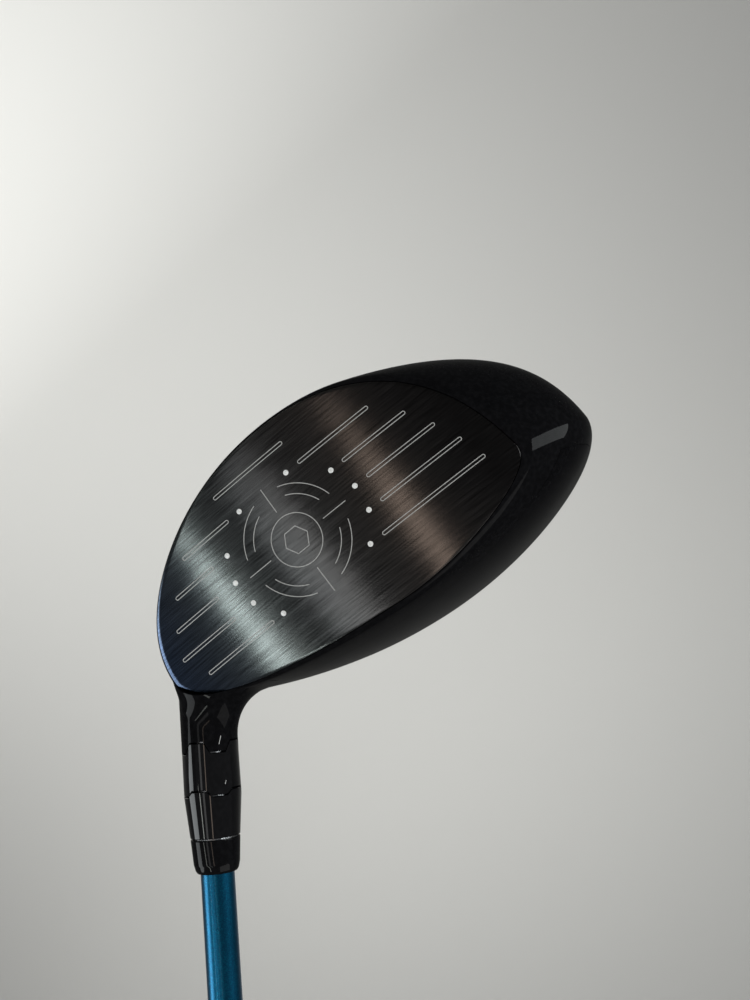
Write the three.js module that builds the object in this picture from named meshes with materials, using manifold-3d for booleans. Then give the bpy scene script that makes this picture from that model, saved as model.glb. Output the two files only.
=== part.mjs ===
// Golf driver: a hollow titanium head on an adjustable shaft sleeve, a tapered shaft and a rubber grip.
// Millimetres, +Z up. The club stands at address: the sole touches the ground at the origin, the face
// looks along -Y, the toe points along -X, and the shaft leans towards +X at the lie angle.
import * as THREE from "three";
import { mergeVertices } from "three/addons/utils/BufferGeometryUtils.js";
import Module from "manifold-3d";

const wasm = await Module();
wasm.setup();

// ---------------------------------------------------------------- driving dimensions
const LIE = THREE.MathUtils.degToRad(60);
const LOFT = THREE.MathUtils.degToRad(10);
const CLUB_LENGTH = 1143; // ground to grip end, along the shaft: 45 inches
const FACE_CENTRE = new THREE.Vector3(0, -22, 29.5);
const BULGE_RADIUS = 305;

const HEAD_DEPTH = 117; // face centre to the rearmost point
const TOE_REACH = 61;
const HEEL_REACH = 62.8;
const CROWN_RISE = 21.2;
const SOLE_DROP = 41.1;
const SECTION_CENTRE = 12; // toe side of the face centre
const REAR_SHIFT = 8; // how far the rear point lies back towards the heel
const SKIRT_HEIGHT = 12; // skirt line over the face centre, at the face
const SKIRT_REAR_FALL = 0.12;
const SKIRT_TOE_RISE = 0.06;
const EDGE_SETBACK = 2.2; // how far the rounded face edge reaches over face and body

const WALL = 1.8;
const CROWN_THICKNESS = 0.8;
const CROWN_LEDGE_TOP = 1.05;
const CROWN_LEDGE_WIDTH = 5;
const CROWN_SEAM_SCALE = 0.93;
const CROWN_FRONT = 17; // seam behind the face centre
const FACE_THICKNESS = 3;
const FACE_INSET = 1.2;
const GAP = 0.3;

const HOSEL_GROUND = new THREE.Vector3(23, -8.8, 0); // where the shaft axis meets the ground
const HOSEL_RADIUS = 7.2;
const HOSEL_TOP = 61.6; // stations along the shaft axis, from the ground
const HOSEL_FILLET = 10; // towards the toe and the crown
const HEEL_FILLET = 1.5;
const COG_SPLIT = 72.8;
const COG_TOP = 84.2;
const FERRULE_TOP = 92.6;
const SLEEVE_RADIUS = 4.95;
const SLEEVE_BORE = 4.36;
const SLEEVE_BOTTOM = 32;
const COG_BORE = 5.12;
const TOOTH_COUNT = 4;
const TOOTH_HEIGHT = 2.6;
const TOOTH_GAP = 0.4; // between a cog and what it meshes with, measured along the shaft

const SHAFT_TIP = 45;
const SHAFT_TIP_RADIUS = 4.25;
const SHAFT_BUTT_RADIUS = 7.6;
const SHAFT_PARALLEL_TIP = 120;
const SHAFT_WALL_TIP = 1.7;
const SHAFT_WALL_BUTT = 1.0;
const GRIP_LENGTH = 267;
const GRIP_CAP_THICKNESS = 5;
const GRIP_CAP_RADIUS = 13.4;

const PORT_MOUTH = 16.5; // lower end of the screw's housing, along the shaft axis
const PORT_RADIUS = 7.2;
const SCREW_SEAT = 22.6;
const SEAT_TOP = 26.6;
const WEIGHT_RADIUS = 9;
const WEIGHT_DEPTH = 5;

// ---------------------------------------------------------------- colours
const paint = (color, roughness, metalness) =>
  new THREE.MeshStandardMaterial({ color, roughness, metalness });
const materials = {
  gloss_black: paint(0x08080a, 0.12, 0.2),
  face_metal: paint(0x2b2d30, 0.34, 0.95),
  adapter_black: paint(0x0a0a0b, 0.2, 0.4),
  bare_metal: paint(0x8d9096, 0.35, 0.95),
  dark_steel: paint(0x4a4c50, 0.35, 0.95),
  shaft_blue: paint(0x0a5f9e, 0.15, 0.6),
  grip_rubber: paint(0x141415, 0.85, 0),
  cap_rubber: paint(0x101011, 0.8, 0),
  tape: paint(0xd8d2bf, 0.9, 0),
  cork: paint(0xb48a5a, 0.95, 0),
};

// ---------------------------------------------------------------- solids
function toSolid(geometry) {
  const plain = geometry.index ? geometry.toNonIndexed() : geometry.clone();
  plain.deleteAttribute("normal");
  plain.deleteAttribute("uv");
  const merged = mergeVertices(plain, 1e-4);
  const mesh = new wasm.Mesh({
    numProp: 3,
    vertProperties: merged.attributes.position.array,
    triVerts: new Uint32Array(merged.index.array),
  });
  return new wasm.Manifold(mesh);
}

function toGeometry(solid) {
  const mesh = solid.getMesh();
  const positions = new Float32Array(mesh.numVert * 3);
  for (let i = 0; i < mesh.numVert; i++) {
    positions.set(mesh.vertProperties.subarray(i * mesh.numProp, i * mesh.numProp + 3), i * 3);
  }
  const geometry = new THREE.BufferGeometry();
  geometry.setAttribute("position", new THREE.BufferAttribute(positions, 3));
  geometry.setIndex(new THREE.BufferAttribute(new Uint32Array(mesh.triVerts), 1));
  return geometry;
}

// Closed surface over rings of points, with a single point at each end.
function ringGeometry(start, rings, end) {
  const count = rings[0].length;
  const points = [start, ...rings.flat(), end];
  const index = [];
  const at = (ring, i) => 1 + ring * count + (i % count);
  for (let i = 0; i < count; i++) {
    index.push(0, at(0, i), at(0, i + 1));
    index.push(points.length - 1, at(rings.length - 1, i + 1), at(rings.length - 1, i));
  }
  for (let r = 0; r + 1 < rings.length; r++) {
    for (let i = 0; i < count; i++) {
      index.push(at(r, i), at(r + 1, i), at(r + 1, i + 1));
      index.push(at(r, i), at(r + 1, i + 1), at(r, i + 1));
    }
  }
  const geometry = new THREE.BufferGeometry();
  const positions = new Float32Array(points.flatMap((p) => [p.x, p.y, p.z]));
  geometry.setAttribute("position", new THREE.BufferAttribute(positions, 3));
  geometry.setIndex(index);
  return geometry;
}

// A turned piece about +Z from [radius, height] pairs that close on themselves or on the axis.
function turned(profile, sides = 24) {
  const points = [...profile, profile[0]].map(([r, z]) => new THREE.Vector2(r, z));
  const geometry = new THREE.LatheGeometry(points, sides);
  geometry.rotateX(Math.PI / 2);
  return geometry;
}

const tubeProfile = (inner, outer, bottom, top) =>
  [[inner, bottom], [outer, bottom], [outer, top], [inner, top]];

function solidBar(radius, bottom, top, sides = 24) {
  const geometry = new THREE.CylinderGeometry(radius, radius, top - bottom, sides);
  geometry.rotateX(Math.PI / 2);
  geometry.translate(0, 0, (top + bottom) / 2);
  return toSolid(geometry);
}

// ---------------------------------------------------------------- head surface
// Head coordinates, from the face centre: toe t, back y, up z. The face has its own axes, tilted by
// the loft: t, u up the face and b behind it.
const rise = (value, power, root) => Math.pow(Math.max(0, 1 - Math.pow(Math.max(0, value), power)), root);

// Half sizes of the section at a depth y; the toe closes along the lofted face, so it needs the height too.
function reaches(y, z) {
  const behind = y - z * Math.tan(LOFT);
  const front = (at, from, length) =>
    Math.sqrt(Math.max(0.05, 1 - Math.pow(Math.max(0, from - at) / length, 2)));
  const rear = (from, power, root) => rise((y - from) / (HEAD_DEPTH - from), power, root);
  return {
    centre: SECTION_CENTRE - REAR_SHIFT * Math.pow(Math.max(0, y) / HEAD_DEPTH, 2),
    skirt: SKIRT_HEIGHT - SKIRT_REAR_FALL * y,
    toe: TOE_REACH * front(behind, 32, 37.7) * rear(36, 2, 0.55),
    heel: HEEL_REACH * rear(15, 1.8, 0.6),
    crown: CROWN_RISE * front(y, 50, 68) * rear(50, 1.72, 0.5),
    sole: SOLE_DROP * rear(0, 1.7, 0.6),
  };
}

// How much a section bulges between its axes, by quadrant.
function fullness(cos, sin) {
  const bulge = sin > 0 ? (cos > 0 ? -0.03 : 0) : cos > 0 ? 0.058 : -0.03;
  return 1 + bulge * Math.pow(2 * cos * sin, 2);
}

const skirtAt = (t, skirt) => skirt + SKIRT_TOE_RISE * (t - SECTION_CENTRE);

function bodyPoint(angle, y, inset = 0) {
  const stretched = (y * HEAD_DEPTH) / (HEAD_DEPTH - inset);
  const depth = inset && y > 0 ? stretched : y;
  const cos = Math.cos(angle);
  const sin = Math.sin(angle);
  const full = fullness(cos, sin);
  const shrink = (value) => Math.max(value - inset, 0.02 * value);
  const level = reaches(depth, 0);
  const height = level.skirt + shrink(sin > 0 ? level.crown : level.sole) * full * sin;
  const reach = reaches(depth, height);
  const t = reach.centre + shrink(cos > 0 ? reach.toe : reach.heel) * full * cos;
  const z = skirtAt(t, reach.skirt) + shrink(sin > 0 ? reach.crown : reach.sole) * full * sin;
  return { t, y, z };
}

const faceCurve = (t, u) => (t * t + u * u) / (2 * BULGE_RADIUS);
const upFace = (p) => p.y * Math.sin(LOFT) + p.z * Math.cos(LOFT);
const behindFace = (p) => p.y * Math.cos(LOFT) - p.z * Math.sin(LOFT) - faceCurve(p.t, upFace(p));

function facePoint(t, u, depth = 0) {
  const b = faceCurve(t, u) + depth;
  return { t, y: u * Math.sin(LOFT) + b * Math.cos(LOFT), z: u * Math.cos(LOFT) - b * Math.sin(LOFT) };
}

const toRow = (p) => new THREE.Vector3(-p.t, p.y, p.z).add(FACE_CENTRE);

// Where the section line at this angle runs into the face.
function edgeDepth(angle, inset) {
  let low = -20;
  let high = 45;
  for (let i = 0; i < 40; i++) {
    const middle = (low + high) / 2;
    if (behindFace(bodyPoint(angle, middle, inset)) > inset) high = middle;
    else low = middle;
  }
  return (low + high) / 2;
}

const mix = (a, b, k) => ({ t: a.t + (b.t - a.t) * k, y: a.y + (b.y - a.y) * k, z: a.z + (b.z - a.z) * k });
const far = (a, b) => Math.hypot(a.t - b.t, a.y - b.y, a.z - b.z);

// The head without its hosel, inset by that many millimetres, as a closed solid.
function headForm(inset, around, alongFace, alongBody) {
  const lines = [];
  for (let i = 0; i < around; i++) {
    const angle = (-2 * Math.PI * i) / around;
    const depth = edgeDepth(angle, inset);
    const edge = bodyPoint(angle, depth, inset);
    const middle = { t: SECTION_CENTRE, u: 2 };
    const reachOut = Math.hypot(edge.t - middle.t, upFace(edge) - middle.u);
    const onFace = (share) =>
      facePoint(middle.t + (edge.t - middle.t) * share, middle.u + (upFace(edge) - middle.u) * share, inset);
    const line = [];
    for (let k = 1; k <= alongFace; k++) {
      line.push(onFace((1 - EDGE_SETBACK / reachOut) * (k / alongFace)));
    }
    const faceEnd = line[line.length - 1];
    let step = 0.05;
    while (far(edge, bodyPoint(angle, depth + step, inset)) < EDGE_SETBACK) step += 0.05;
    const bodyStart = bodyPoint(angle, depth + step, inset);
    for (const k of [1 / 3, 2 / 3]) line.push(mix(mix(faceEnd, edge, k), mix(edge, bodyStart, k), k));
    line.push(bodyStart);
    const length = HEAD_DEPTH - inset - depth - step;
    for (let k = 1; k < alongBody; k++) {
      const share = Math.sin(((k / alongBody) * Math.PI) / 2);
      line.push(bodyPoint(angle, depth + step + length * share, inset));
    }
    lines.push(line.map(toRow));
  }
  const rings = lines[0].map((_, k) => lines.map((line) => line[k]));
  const first = toRow(facePoint(SECTION_CENTRE, 2, inset));
  const last = toRow(bodyPoint(0, HEAD_DEPTH - inset, inset));
  return toSolid(ringGeometry(first, rings, last));
}

// ---------------------------------------------------------------- hosel line
const hoselFrame = new THREE.Matrix4()
  .makeRotationY(Math.PI / 2 - LIE)
  .setPosition(HOSEL_GROUND);
const along = (solid) => solid.transform([...hoselFrame.elements]);

// Signed distance to the head form, close enough for blending.
function headDistance(point) {
  const p = point.clone().sub(FACE_CENTRE);
  const measure = (x, y, z) => {
    const t = -x;
    const reach = reaches(y, z);
    const across = t - reach.centre;
    const up = z - skirtAt(t, reach.skirt);
    const a = across / Math.max(across > 0 ? reach.toe : reach.heel, 0.5);
    const c = up / Math.max(up > 0 ? reach.crown : reach.sole, 0.5);
    const radius = Math.hypot(a, c) || 1e-6;
    return radius / fullness(a / radius, c / radius) - 1;
  };
  const e = 0.05;
  const value = measure(p.x, p.y, p.z);
  const slope = Math.hypot(
    (measure(p.x + e, p.y, p.z) - measure(p.x - e, p.y, p.z)) / (2 * e),
    (measure(p.x, p.y + e, p.z) - measure(p.x, p.y - e, p.z)) / (2 * e),
    (measure(p.x, p.y, p.z + e) - measure(p.x, p.y, p.z - e)) / (2 * e),
  );
  const front = -behindFace({ t: -p.x, y: p.y, z: p.z });
  return Math.max(value / slope, front);
}

// Outer radius of the hosel at a station, down to the rounded mouth of the screw's housing.
function hoselRadius(station) {
  const rounding = 1.2;
  const past = Math.max(0, PORT_MOUTH + rounding - station);
  const belly = THREE.MathUtils.smoothstep(station, 30, 42);
  const straight = THREE.MathUtils.lerp(PORT_RADIUS, HOSEL_RADIUS, belly);
  return straight - rounding + Math.sqrt(rounding ** 2 - past ** 2);
}

// The neck, the fillet where it flares into the head, and the screw's housing below.
function neckForm() {
  const sides = 24;
  const stations = [64, 58, 55, 52, 49.5, 47, 44.5, 42, 39, 36, 32, 28, 24, 20.5, 17.7, 16.9, 16.5];
  const furthest = 21;
  const buried = 0.35; // keeps the flare's outer skirt under the head's own surface
  const neckFillet = (head, neck, fillet) => {
    const a = Math.max(fillet - head, 0);
    const b = Math.max(fillet - neck, 0);
    return Math.max(fillet, Math.min(head, neck)) - Math.hypot(a, b);
  };
  const rings = stations.map((station) =>
    Array.from({ length: sides }, (_, i) => {
      const angle = (2 * Math.PI * i) / sides;
      const toeward = THREE.MathUtils.smoothstep(station, 38, 50) * Math.pow((1 - Math.cos(angle)) / 2, 0.7);
      const fillet = THREE.MathUtils.lerp(HEEL_FILLET, HOSEL_FILLET, toeward);
      const side = new THREE.Vector3(Math.cos(angle), Math.sin(angle), 0);
      const place = (radius) => side.clone().multiplyScalar(radius).setZ(station).applyMatrix4(hoselFrame);
      let low = 1;
      let high = furthest;
      for (let k = 0; k < 26; k++) {
        const middle = (low + high) / 2;
        const head = headDistance(place(middle)) + buried;
        const outside = neckFillet(head, middle - hoselRadius(station), fillet) > 0;
        if (outside) high = middle;
        else low = middle;
      }
      return place(low);
    }),
  );
  const cap = (station) => new THREE.Vector3(0, 0, station).applyMatrix4(hoselFrame);
  return toSolid(ringGeometry(cap(stations[0]), rings, cap(stations[stations.length - 1])));
}

// Height of the trapezium tooth line at an angle, about 0.
function toothWave(angle) {
  const turn = (((angle * TOOTH_COUNT) / (2 * Math.PI)) % 1 + 1) % 1;
  const flank = 0.14;
  const ramp = (at) => THREE.MathUtils.clamp((turn - at) / flank + 0.5, 0, 1);
  return TOOTH_HEIGHT * (ramp(0.25) - ramp(0.75)) - TOOTH_HEIGHT / 2;
}

// A ring about +Z whose ends follow a height for each angle, and whose outside may taper.
function toothedRing(inner, outerBottom, outerTop, bottom, top) {
  const sides = 48;
  const loops = [
    (a) => [inner, bottom(a)],
    (a) => [outerBottom, bottom(a)],
    (a) => [outerTop, top(a)],
    (a) => [inner, top(a)],
  ];
  const points = [];
  for (let i = 0; i < sides; i++) {
    const angle = (2 * Math.PI * i) / sides;
    for (const loop of loops) {
      const [r, z] = loop(angle);
      points.push(r * Math.cos(angle), r * Math.sin(angle), z);
    }
  }
  const index = [];
  for (let i = 0; i < sides; i++) {
    for (let k = 0; k < 4; k++) {
      const [a, b] = [i * 4 + k, i * 4 + ((k + 1) % 4)];
      const [c, d] = [((i + 1) % sides) * 4 + k, ((i + 1) % sides) * 4 + ((k + 1) % 4)];
      index.push(a, c, d, a, d, b);
    }
  }
  const geometry = new THREE.BufferGeometry();
  geometry.setAttribute("position", new THREE.BufferAttribute(new Float32Array(points), 3));
  geometry.setIndex(index);
  return geometry;
}

// ---------------------------------------------------------------- cutters for the head's panels
// The crown's plan outline, grown sideways by that many millimetres.
function crownOutline(grow) {
  const steps = 14;
  const front = CROWN_FRONT - grow;
  const back = HEAD_DEPTH - 4 + grow;
  const toeSide = [];
  const heelSide = [];
  for (let i = 0; i <= steps; i++) {
    const share = Math.sin(((i / steps) * Math.PI) / 2);
    const y = front + (back - front) * share;
    const reach = reaches(y, SKIRT_HEIGHT);
    toeSide.push([-(reach.centre + reach.toe * CROWN_SEAM_SCALE + grow), y]);
    heelSide.push([-(reach.centre - reach.heel * CROWN_SEAM_SCALE - grow), y]);
  }
  return [...toeSide.reverse(), ...heelSide];
}

// A prism over the crown's outline, from the skirt plane up, notched round the hosel.
function crownPrism(grow) {
  const outline = crownOutline(grow);
  const skirt = (x, y) => skirtAt(-x, SKIRT_HEIGHT - SKIRT_REAR_FALL * y) + 1;
  const at = (x, y, z) => new THREE.Vector3(x, y, z).add(FACE_CENTRE);
  const low = outline.map(([x, y]) => at(x, y, skirt(x, y)));
  const high = outline.map(([x, y]) => at(x, y, 60));
  const middleX = -SECTION_CENTRE;
  const middleY = HEAD_DEPTH / 2;
  const ends = [60, skirt(middleX, middleY)].map((z) => at(middleX, middleY, z));
  const prism = ringGeometry(ends[0], [high, low], ends[1]);
  const notch = along(solidBar(15 - grow, 20, 110, 32));
  return facingOut(toSolid(prism)).subtract(notch);
}

const facingOut = (solid) => {
  if (solid.volume() > 0) return solid;
  throw new Error("a profile runs the wrong way round");
};

// Everything in front of a depth behind the face, within the face's outline.
function faceCutter(depth, grow) {
  const around = 48;
  const steps = 4;
  const front = -12;
  const outline = Array.from({ length: around }, (_, i) => {
    const angle = (-2 * Math.PI * i) / around;
    const edge = bodyPoint(angle, edgeDepth(angle, 0), 0);
    const t = edge.t - SECTION_CENTRE;
    const u = upFace(edge) - 2;
    const share = 1 - (FACE_INSET - grow) / Math.hypot(t, u);
    return [t * share, u * share];
  });
  const ring = (share, depthAt) =>
    outline.map(([t, u]) => toRow(facePoint(SECTION_CENTRE + t * share, 2 + u * share, depthAt)));
  const rings = [ring(1, front)];
  for (let k = steps; k >= 1; k--) rings.push(ring(k / steps, depth));
  const ends = [front, depth].map((at) => toRow(facePoint(SECTION_CENTRE, 2, at)));
  return facingOut(toSolid(ringGeometry(ends[0], rings, ends[1])));
}

// ---------------------------------------------------------------- screws
// A six-lobed driver socket about +Z, as a cutter.
function lobedSocket(radius, bottom, top) {
  const shape = new THREE.Shape();
  const steps = 36;
  for (let i = 0; i < steps; i++) {
    const angle = (2 * Math.PI * i) / steps;
    const r = radius * (0.86 + 0.14 * Math.cos(6 * angle));
    if (i === 0) shape.moveTo(r * Math.cos(angle), r * Math.sin(angle));
    else shape.lineTo(r * Math.cos(angle), r * Math.sin(angle));
  }
  shape.closePath();
  const geometry = new THREE.ExtrudeGeometry(shape, { depth: top - bottom, bevelEnabled: false });
  geometry.translate(0, 0, bottom);
  return toSolid(geometry);
}

// ---------------------------------------------------------------- head pieces
const root = new THREE.Group();
function add(name, shape, material, parent = root) {
  const geometry = shape.isBufferGeometry ? shape : toGeometry(shape);
  const mesh = new THREE.Mesh(geometry, materials[material]);
  mesh.name = name;
  parent.add(mesh);
}

const outerForm = facingOut(headForm(0, 44, 2, 11));
const groundCut = toSolid(new THREE.BoxGeometry(400, 400, 50).translate(0, 0, -25));
const outer = outerForm.add(facingOut(neckForm())).subtract(groundCut);
const cavity = headForm(WALL, 32, 2, 8);

const weightFrame = new THREE.Matrix4();
{
  const spot = bodyPoint(-Math.PI / 2, 96);
  const ahead = bodyPoint(-Math.PI / 2, 95);
  const behind = bodyPoint(-Math.PI / 2, 97);
  const slope = Math.atan2(behind.z - ahead.z, behind.y - ahead.y);
  weightFrame.makeRotationX(Math.PI + slope).setPosition(toRow(spot));
}
const atWeight = (solid) => solid.transform([...weightFrame.elements]);

function headBody() {
  const teeth = toothedRing(3, 12, 12, (a) => HOSEL_TOP + toothWave(a), () => HOSEL_TOP + 12);
  const boss = along(solidBar(PORT_RADIUS, -8, SEAT_TOP)).intersect(outer);
  const weightBoss = atWeight(solidBar(WEIGHT_RADIUS + 4, -9.5, 6)).intersect(outer);
  const crownLand = crownPrism(0.25).subtract(headForm(CROWN_LEDGE_TOP, 44, 2, 11));
  return outer
    .subtract(cavity)
    .subtract(crownLand)
    .subtract(crownPrism(-CROWN_LEDGE_WIDTH))
    .subtract(faceCutter(FACE_THICKNESS + GAP, 0.25))
    .add(boss)
    .add(weightBoss)
    .subtract(along(solidBar(5.7, -10, SCREW_SEAT)))
    .subtract(along(solidBar(2.9, 10, SEAT_TOP + 4)))
    .subtract(along(solidBar(6.4, SEAT_TOP, 54.3)))
    .subtract(along(solidBar(COG_BORE, 50, 70)))
    .subtract(along(toSolid(teeth)))
    .subtract(atWeight(solidBar(WEIGHT_RADIUS + 2.3, -7.3, 6)))
    .subtract(atWeight(solidBar(2.6, -14, 6)));
}

const faceZone = along(solidBar(HOSEL_RADIUS - 0.2, 20, 50));
add("head_body", headBody(), "gloss_black");
const crownShell = outer.subtract(headForm(CROWN_THICKNESS, 44, 2, 11)).intersect(crownPrism(0));
add("crown_shell", crownShell, "gloss_black");
add("face_plate", outer.intersect(faceCutter(FACE_THICKNESS, 0)).subtract(faceZone), "face_metal");

// ---------------------------------------------------------------- rear weight
const weightGroup = new THREE.Group();
weightFrame.decompose(weightGroup.position, weightGroup.quaternion, weightGroup.scale);
root.add(weightGroup);
const weightBlank = solidBar(WEIGHT_RADIUS, -WEIGHT_DEPTH, 6)
  .subtract(solidBar(4.4, -2.4, 8))
  .subtract(solidBar(2.4, -9, 8));
const portBlank = solidBar(WEIGHT_RADIUS + 2, -7, 6)
  .subtract(solidBar(WEIGHT_RADIUS + 0.25, -WEIGHT_DEPTH - 0.3, 8))
  .subtract(solidBar(2.15, -12, 8));
add("weight_port", atWeight(portBlank).intersect(outer), "dark_steel");
add("rear_weight", atWeight(weightBlank).intersect(outer), "bare_metal");
const weightScrew = solidBar(3.9, -2.1, -0.4)
  .add(solidBar(2.0, -8.6, -1))
  .subtract(lobedSocket(2.1, -1.7, 4));
add("weight_screw", weightScrew, "dark_steel", weightGroup);

// ---------------------------------------------------------------- hosel, adapter, shaft and grip
const club = new THREE.Group();
club.position.copy(HOSEL_GROUND);
club.rotation.y = Math.PI / 2 - LIE;
root.add(club);

add("hosel_tube", turned(tubeProfile(COG_BORE, 6.2, SEAT_TOP + GAP, 54)), "bare_metal", club);

const screw = solidBar(4.4, SCREW_SEAT - 4.8, SCREW_SEAT - 0.8)
  .add(solidBar(2.45, SCREW_SEAT - 1.2, SLEEVE_BOTTOM + 8.5))
  .subtract(lobedSocket(2.4, 4, SCREW_SEAT - 2));
add("hosel_screw", screw, "dark_steel", club);
add("screw_washer", turned(tubeProfile(2.6, 5.1, SCREW_SEAT - 0.7, SCREW_SEAT - 0.1)), "bare_metal", club);
add("screw_retaining_ring", turned(tubeProfile(2.55, 4.4, SEAT_TOP + 0.1, SEAT_TOP + 1)), "dark_steel", club);

const loftCog = toothedRing(
  COG_BORE, HOSEL_RADIUS, HOSEL_RADIUS + 0.05,
  (a) => HOSEL_TOP + TOOTH_GAP + toothWave(a),
  (a) => COG_SPLIT + toothWave(a) / 2,
);
add("loft_cog", loftCog, "adapter_black", club);
const lieCog = toothedRing(
  COG_BORE, HOSEL_RADIUS + 0.05, 6.3,
  (a) => COG_SPLIT + TOOTH_GAP + toothWave(a) / 2,
  () => COG_TOP - GAP,
);
const keyBox = (width, reach, bottom, top) =>
  toSolid(new THREE.BoxGeometry(2 * reach, width, top - bottom).translate(0, 0, (top + bottom) / 2));
add("lie_cog", toSolid(lieCog).subtract(keyBox(2.9, 5.7, COG_TOP - 1.9, COG_TOP + 2)), "adapter_black", club);

const sleeve = toSolid(turned(tubeProfile(SLEEVE_BORE, SLEEVE_RADIUS, SLEEVE_BOTTOM, COG_TOP + 2.2)))
  .add(toSolid(turned(tubeProfile(SLEEVE_BORE, 5.4, COG_TOP, COG_TOP + 2.2))))
  .add(keyBox(2.4, 5.35, COG_TOP - 1.5, COG_TOP + 1).subtract(solidBar(SLEEVE_BORE, 60, 100)));
add("shaft_sleeve", sleeve, "bare_metal", club);
const insert = tubeProfile(2.6, SLEEVE_BORE - 0.1, SLEEVE_BOTTOM + 0.2, SLEEVE_BOTTOM + 10.5);
add("sleeve_insert", turned(insert), "dark_steel", club);
const ferrule = [
  [5.55, COG_TOP + 0.1], [6.25, COG_TOP + 0.1], [5.75, 90.6], [5.45, 92.1], [4.9, FERRULE_TOP],
  [SHAFT_TIP_RADIUS + 0.1, FERRULE_TOP], [SHAFT_TIP_RADIUS + 0.1, COG_TOP + 2.5], [5.55, COG_TOP + 2.5],
];
add("ferrule", turned(ferrule), "adapter_black", club);

const shaftButt = CLUB_LENGTH - GRIP_CAP_THICKNESS - 0.2;
const shaftRadius = (station) => {
  const share = Math.max(0, station - SHAFT_PARALLEL_TIP) / (shaftButt - SHAFT_PARALLEL_TIP);
  return THREE.MathUtils.lerp(SHAFT_TIP_RADIUS, SHAFT_BUTT_RADIUS, Math.min(1, share));
};
const shaft = [
  [SHAFT_TIP_RADIUS - SHAFT_WALL_TIP, SHAFT_TIP], [SHAFT_TIP_RADIUS, SHAFT_TIP],
  [SHAFT_TIP_RADIUS, SHAFT_PARALLEL_TIP], [SHAFT_BUTT_RADIUS, shaftButt],
  [SHAFT_BUTT_RADIUS - SHAFT_WALL_BUTT, shaftButt], [SHAFT_TIP_RADIUS - SHAFT_WALL_TIP, SHAFT_PARALLEL_TIP],
];
add("shaft", turned(shaft), "shaft_blue", club);
const corkRadius = SHAFT_TIP_RADIUS - SHAFT_WALL_TIP - 0.1;
add("tip_plug", solidBar(corkRadius, SHAFT_TIP + 0.5, SHAFT_TIP + 8), "cork", club);

const gripMouth = CLUB_LENGTH - GRIP_LENGTH;
const gripEnd = CLUB_LENGTH - GRIP_CAP_THICKNESS - GAP;
const tape = [
  [shaftRadius(gripMouth + 4) + 0.08, gripMouth + 4], [shaftRadius(gripMouth + 4) + 0.3, gripMouth + 4],
  [shaftRadius(shaftButt) + 0.3, shaftButt - 0.5], [shaftRadius(shaftButt) + 0.08, shaftButt - 0.5],
];
add("grip_tape", turned(tape), "tape", club);
const grip = [
  [shaftRadius(gripMouth) + 0.4, gripMouth], [9.3, gripMouth], [9.7, gripMouth + 2],
  [10.2, gripMouth + 90], [11.4, gripMouth + 190], [12.6, gripMouth + 240], [GRIP_CAP_RADIUS - 0.1, gripEnd],
  [SHAFT_BUTT_RADIUS + 0.4, gripEnd],
];
add("grip", turned(grip), "grip_rubber", club);
const cap = [
  [1.5, CLUB_LENGTH - GRIP_CAP_THICKNESS], [GRIP_CAP_RADIUS, CLUB_LENGTH - GRIP_CAP_THICKNESS],
  [GRIP_CAP_RADIUS + 0.2, CLUB_LENGTH - 3], [GRIP_CAP_RADIUS - 0.4, CLUB_LENGTH - 1],
  [GRIP_CAP_RADIUS - 1.8, CLUB_LENGTH], [1.5, CLUB_LENGTH],
];
add("grip_cap", turned(cap), "cap_rubber", club);

export default root;
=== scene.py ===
"""Golf driver: fine surfaces, materials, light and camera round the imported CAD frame.

Shapes are worked out in millimetres in the row frame (toe at -X, face towards -Y, ground at z = 0)
and turned into metres when a mesh is made.
"""
import math

import bpy
import bmesh
import numpy as np
from mathutils import Matrix, Vector


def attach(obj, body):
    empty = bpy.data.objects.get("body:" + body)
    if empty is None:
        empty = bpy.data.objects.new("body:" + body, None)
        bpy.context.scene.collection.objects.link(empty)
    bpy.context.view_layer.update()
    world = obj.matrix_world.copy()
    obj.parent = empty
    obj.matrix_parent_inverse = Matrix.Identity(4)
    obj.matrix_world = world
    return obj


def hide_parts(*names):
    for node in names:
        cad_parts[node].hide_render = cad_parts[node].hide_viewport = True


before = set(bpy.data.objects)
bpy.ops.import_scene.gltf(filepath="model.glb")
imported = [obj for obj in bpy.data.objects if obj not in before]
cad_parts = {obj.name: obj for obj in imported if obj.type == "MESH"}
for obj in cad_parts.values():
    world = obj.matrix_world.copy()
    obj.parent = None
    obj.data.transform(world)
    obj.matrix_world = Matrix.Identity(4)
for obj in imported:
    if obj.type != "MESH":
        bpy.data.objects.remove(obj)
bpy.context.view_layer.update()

MM = 0.001

# ---------------------------------------------------------------- driving dimensions, as in the CAD
LIE = math.radians(60)
LOFT = math.radians(10)
CLUB_LENGTH = 1143
FACE_CENTRE = np.array([0, -22, 29.5])
BULGE_RADIUS = 305

HEAD_DEPTH = 117
TOE_REACH = 61
HEEL_REACH = 62.8
CROWN_RISE = 21.2
SOLE_DROP = 41.1
SECTION_CENTRE = 12
REAR_SHIFT = 8
SKIRT_HEIGHT = 12
SKIRT_REAR_FALL = 0.12
SKIRT_TOE_RISE = 0.06
EDGE_SETBACK = 2.2
SKIN = 0.12  # the fine surfaces lie this far inside the coarse ones' corners

CROWN_THICKNESS = 0.8
CROWN_SEAM_SCALE = 0.93
CROWN_FRONT = 17
CROWN_CLEAR_OF_NECK = 15
FACE_THICKNESS = 3
FACE_INSET = 1.2
FACE_MIDDLE = (SECTION_CENTRE, 2)  # towards the toe and up the face

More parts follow.
